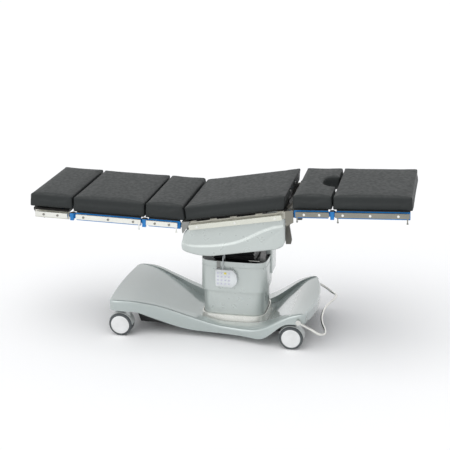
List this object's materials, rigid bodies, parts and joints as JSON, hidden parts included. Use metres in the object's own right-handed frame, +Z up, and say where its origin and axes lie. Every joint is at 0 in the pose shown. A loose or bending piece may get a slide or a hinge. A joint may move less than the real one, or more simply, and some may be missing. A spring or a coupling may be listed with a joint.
{
  "type": "operating table",
  "caption": "Mobile operating table: sectioned cushioned top with accessory rails, tilting head with side covers, telescopic column, wave-shaped base, castors and foot brake bar.",
  "frame": {"origin": "on the floor under the middle of the bounding box", "axes": "+X towards the leg end, +Y across to the far side, +Z up"},
  "size_m": [1.9122, 0.618, 0.8264],
  "materials": {
    "cushion": "matt antistatic foam cover",
    "stainless": "brushed",
    "blue_frame": "blue anodised",
    "steel_frame": "satin",
    "grey_plastic": "metallic pale grey moulding",
    "base_shell": "metallic pale grey gloss",
    "dark_metal": "black",
    "grey_metal": "cast, satin",
    "dark_steel": "dark",
    "mast_metal": "anodised",
    "black_rubber": "matt",
    "white_plastic": "smooth",
    "key_film": "matt film",
    "wheel": "grey tyre with white discs",
    "castor_white": "smooth",
    "chrome_bar": "polished",
    "dark_plastic": "matt",
    "lead": "smooth"
  },
  "bodies": {
    "base": {"chassis": "dark_metal", "base_cover": "base_shell", "column_skirt": "stainless", "inner_sleeve": "stainless", "mast_lower_tube": "mast_metal", "lift_spindle_body": "steel_frame", "battery_pack": "dark_plastic", "control_unit": "dark_plastic", "mains_inlet": "dark_plastic"},
    "column_lower": {"lower_shroud": "grey_plastic", "mast_middle_tube": "mast_metal", "lift_spindle_stage": "steel_frame"},
    "column_upper": {"upper_shroud": "grey_plastic", "mast_upper_tube": "mast_metal", "lift_spindle_rod": "steel_frame", "well_gaiter": "black_rubber", "column_head": "dark_metal", "rear_panel": "grey_plastic", "hand_control": "white_plastic", "control_keys": "key_film", "control_hanger": "grey_metal", "control_lead": "lead", "lead_gland": "dark_plastic", "well_lever": "stainless"},
    "tilt_cross": {"tilt_cross": "steel_frame", "tilt_drive": "dark_metal"},
    "seat": {"seat_frame": "steel_frame", "seat_rails": "stainless", "seat_cushion": "cushion", "side_covers": "grey_plastic", "back_hinge_brackets": "grey_metal", "leg_hinge_brackets": "dark_steel", "hinge_drives": "dark_metal", "seat_eyelets": "stainless"},
    "lower_back": {"lower_back_frame": "blue_frame", "lower_back_rails": "stainless", "lower_back_cushion": "cushion"},
    "upper_back": {"upper_back_frame": "blue_frame", "upper_back_rails": "stainless", "upper_back_cushion": "cushion"},
    "head": {"head_frame": "steel_frame", "head_rails": "stainless", "head_cushion": "cushion"},
    "pelvic": {"pelvic_frame": "blue_frame", "pelvic_rails": "stainless", "pelvic_cushion": "cushion"},
    "leg": {"leg_frame": "blue_frame", "leg_rails": "stainless", "leg_cushion": "cushion"},
    "head_knob": {"head_knob": "dark_plastic"},
    "brake_bar": {"brake_bar": "chrome_bar"},
    "castor_left_front": {"castor_housing_left_front": "castor_white"},
    "wheels_left_front": {"castor_wheels_left_front": "wheel"},
    "castor_left_back": {"castor_housing_left_back": "castor_white"},
    "wheels_left_back": {"castor_wheels_left_back": "wheel"},
    "castor_right_front": {"castor_housing_right_front": "castor_white"},
    "wheels_right_front": {"castor_wheels_right_front": "wheel"},
    "castor_right_back": {"castor_housing_right_back": "castor_white"},
    "wheels_right_back": {"castor_wheels_right_back": "wheel"}
  },
  "joints": [
    {"name": "lower_lift", "type": "slide", "parent": "base", "child": "column_lower", "axis": [0, 0, 1], "range_m": [-0.045, 0.125]},
    {"name": "upper_lift", "type": "slide", "parent": "column_lower", "child": "column_upper", "axis": [0, 0, 1], "range_m": [-0.036, 0.1]},
    {"name": "lateral_tilt", "type": "hinge", "parent": "column_upper", "child": "tilt_cross", "pos_m": [0.06, 0, 0.545], "axis": [1, 0, 0], "range_deg": [-20, 20]},
    {"name": "lengthwise_tilt", "type": "hinge", "parent": "tilt_cross", "child": "seat", "pos_m": [0.06, 0, 0.545], "axis": [0, -1, 0], "range_deg": [-40, 20]},
    {"name": "back_hinge", "type": "hinge", "parent": "seat", "child": "lower_back", "pos_m": [-0.15549, 0, 0.61129], "axis": [0, 1, 0], "range_deg": [-40, 58], "deforming": ["lower_back_cushion"]},
    {"name": "upper_back_hinge", "type": "hinge", "parent": "lower_back", "child": "upper_back", "pos_m": [-0.35884, 0, 0.62055], "axis": [0, 1, 0], "range_deg": [-20, 50], "deforming": ["upper_back_cushion"]},
    {"name": "head_hinge", "type": "hinge", "parent": "upper_back", "child": "head", "pos_m": [-0.73475, 0, 0.62842], "axis": [0, 1, 0], "range_deg": [-45, 30], "deforming": ["head_cushion"]},
    {"name": "head_knob_turn", "type": "hinge", "parent": "head", "child": "head_knob", "pos_m": [-0.90388, -0.21, 0.62396], "axis": [0.0209, 0, 0.9998], "range_deg": [-180, 180]},
    {"name": "pelvic_hinge", "type": "hinge", "parent": "seat", "child": "pelvic", "pos_m": [0.37139, 0, 0.70419], "axis": [0, 1, 0], "range_deg": [-27, 72], "deforming": ["pelvic_cushion"]},
    {"name": "leg_hinge", "type": "hinge", "parent": "pelvic", "child": "leg", "pos_m": [0.57647, 0, 0.71815], "axis": [0, 1, 0], "range_deg": [-15, 60], "deforming": ["leg_cushion"]},
    {"name": "castor_swivel_left_front", "type": "hinge", "parent": "base", "child": "castor_left_front", "pos_m": [-0.466, -0.253, 0.133], "axis": [0, 0, 1], "continuous": true},
    {"name": "wheel_roll_left_front", "type": "hinge", "parent": "castor_left_front", "child": "wheels_left_front", "pos_m": [-0.498, -0.253, 0.06], "axis": [0, 1, 0], "continuous": true},
    {"name": "castor_swivel_left_back", "type": "hinge", "parent": "base", "child": "castor_left_back", "pos_m": [-0.466, 0.253, 0.133], "axis": [0, 0, 1], "continuous": true},
    {"name": "wheel_roll_left_back", "type": "hinge", "parent": "castor_left_back", "child": "wheels_left_back", "pos_m": [-0.498, 0.253, 0.06], "axis": [0, 1, 0], "continuous": true},
    {"name": "castor_swivel_right_front", "type": "hinge", "parent": "base", "child": "castor_right_front", "pos_m": [0.421, -0.253, 0.133], "axis": [0, 0, 1], "continuous": true},
    {"name": "wheel_roll_right_front", "type": "hinge", "parent": "castor_right_front", "child": "wheels_right_front", "pos_m": [0.389, -0.253, 0.06], "axis": [0, 1, 0], "continuous": true},
    {"name": "castor_swivel_right_back", "type": "hinge", "parent": "base", "child": "castor_right_back", "pos_m": [0.421, 0.253, 0.133], "axis": [0, 0, 1], "continuous": true},
    {"name": "wheel_roll_right_back", "type": "hinge", "parent": "castor_right_back", "child": "wheels_right_back", "pos_m": [0.389, 0.253, 0.06], "axis": [0, 1, 0], "continuous": true},
    {"name": "brake_bar_hinge", "type": "hinge", "parent": "base", "child": "brake_bar", "pos_m": [0.427, 0, 0.157], "axis": [0, 1, 0], "range_deg": [-10, 10]}
  ],
  "couplings": [
    {"joint": "upper_lift", "follows": "lower_lift", "ratio": 0.8}
  ]
}
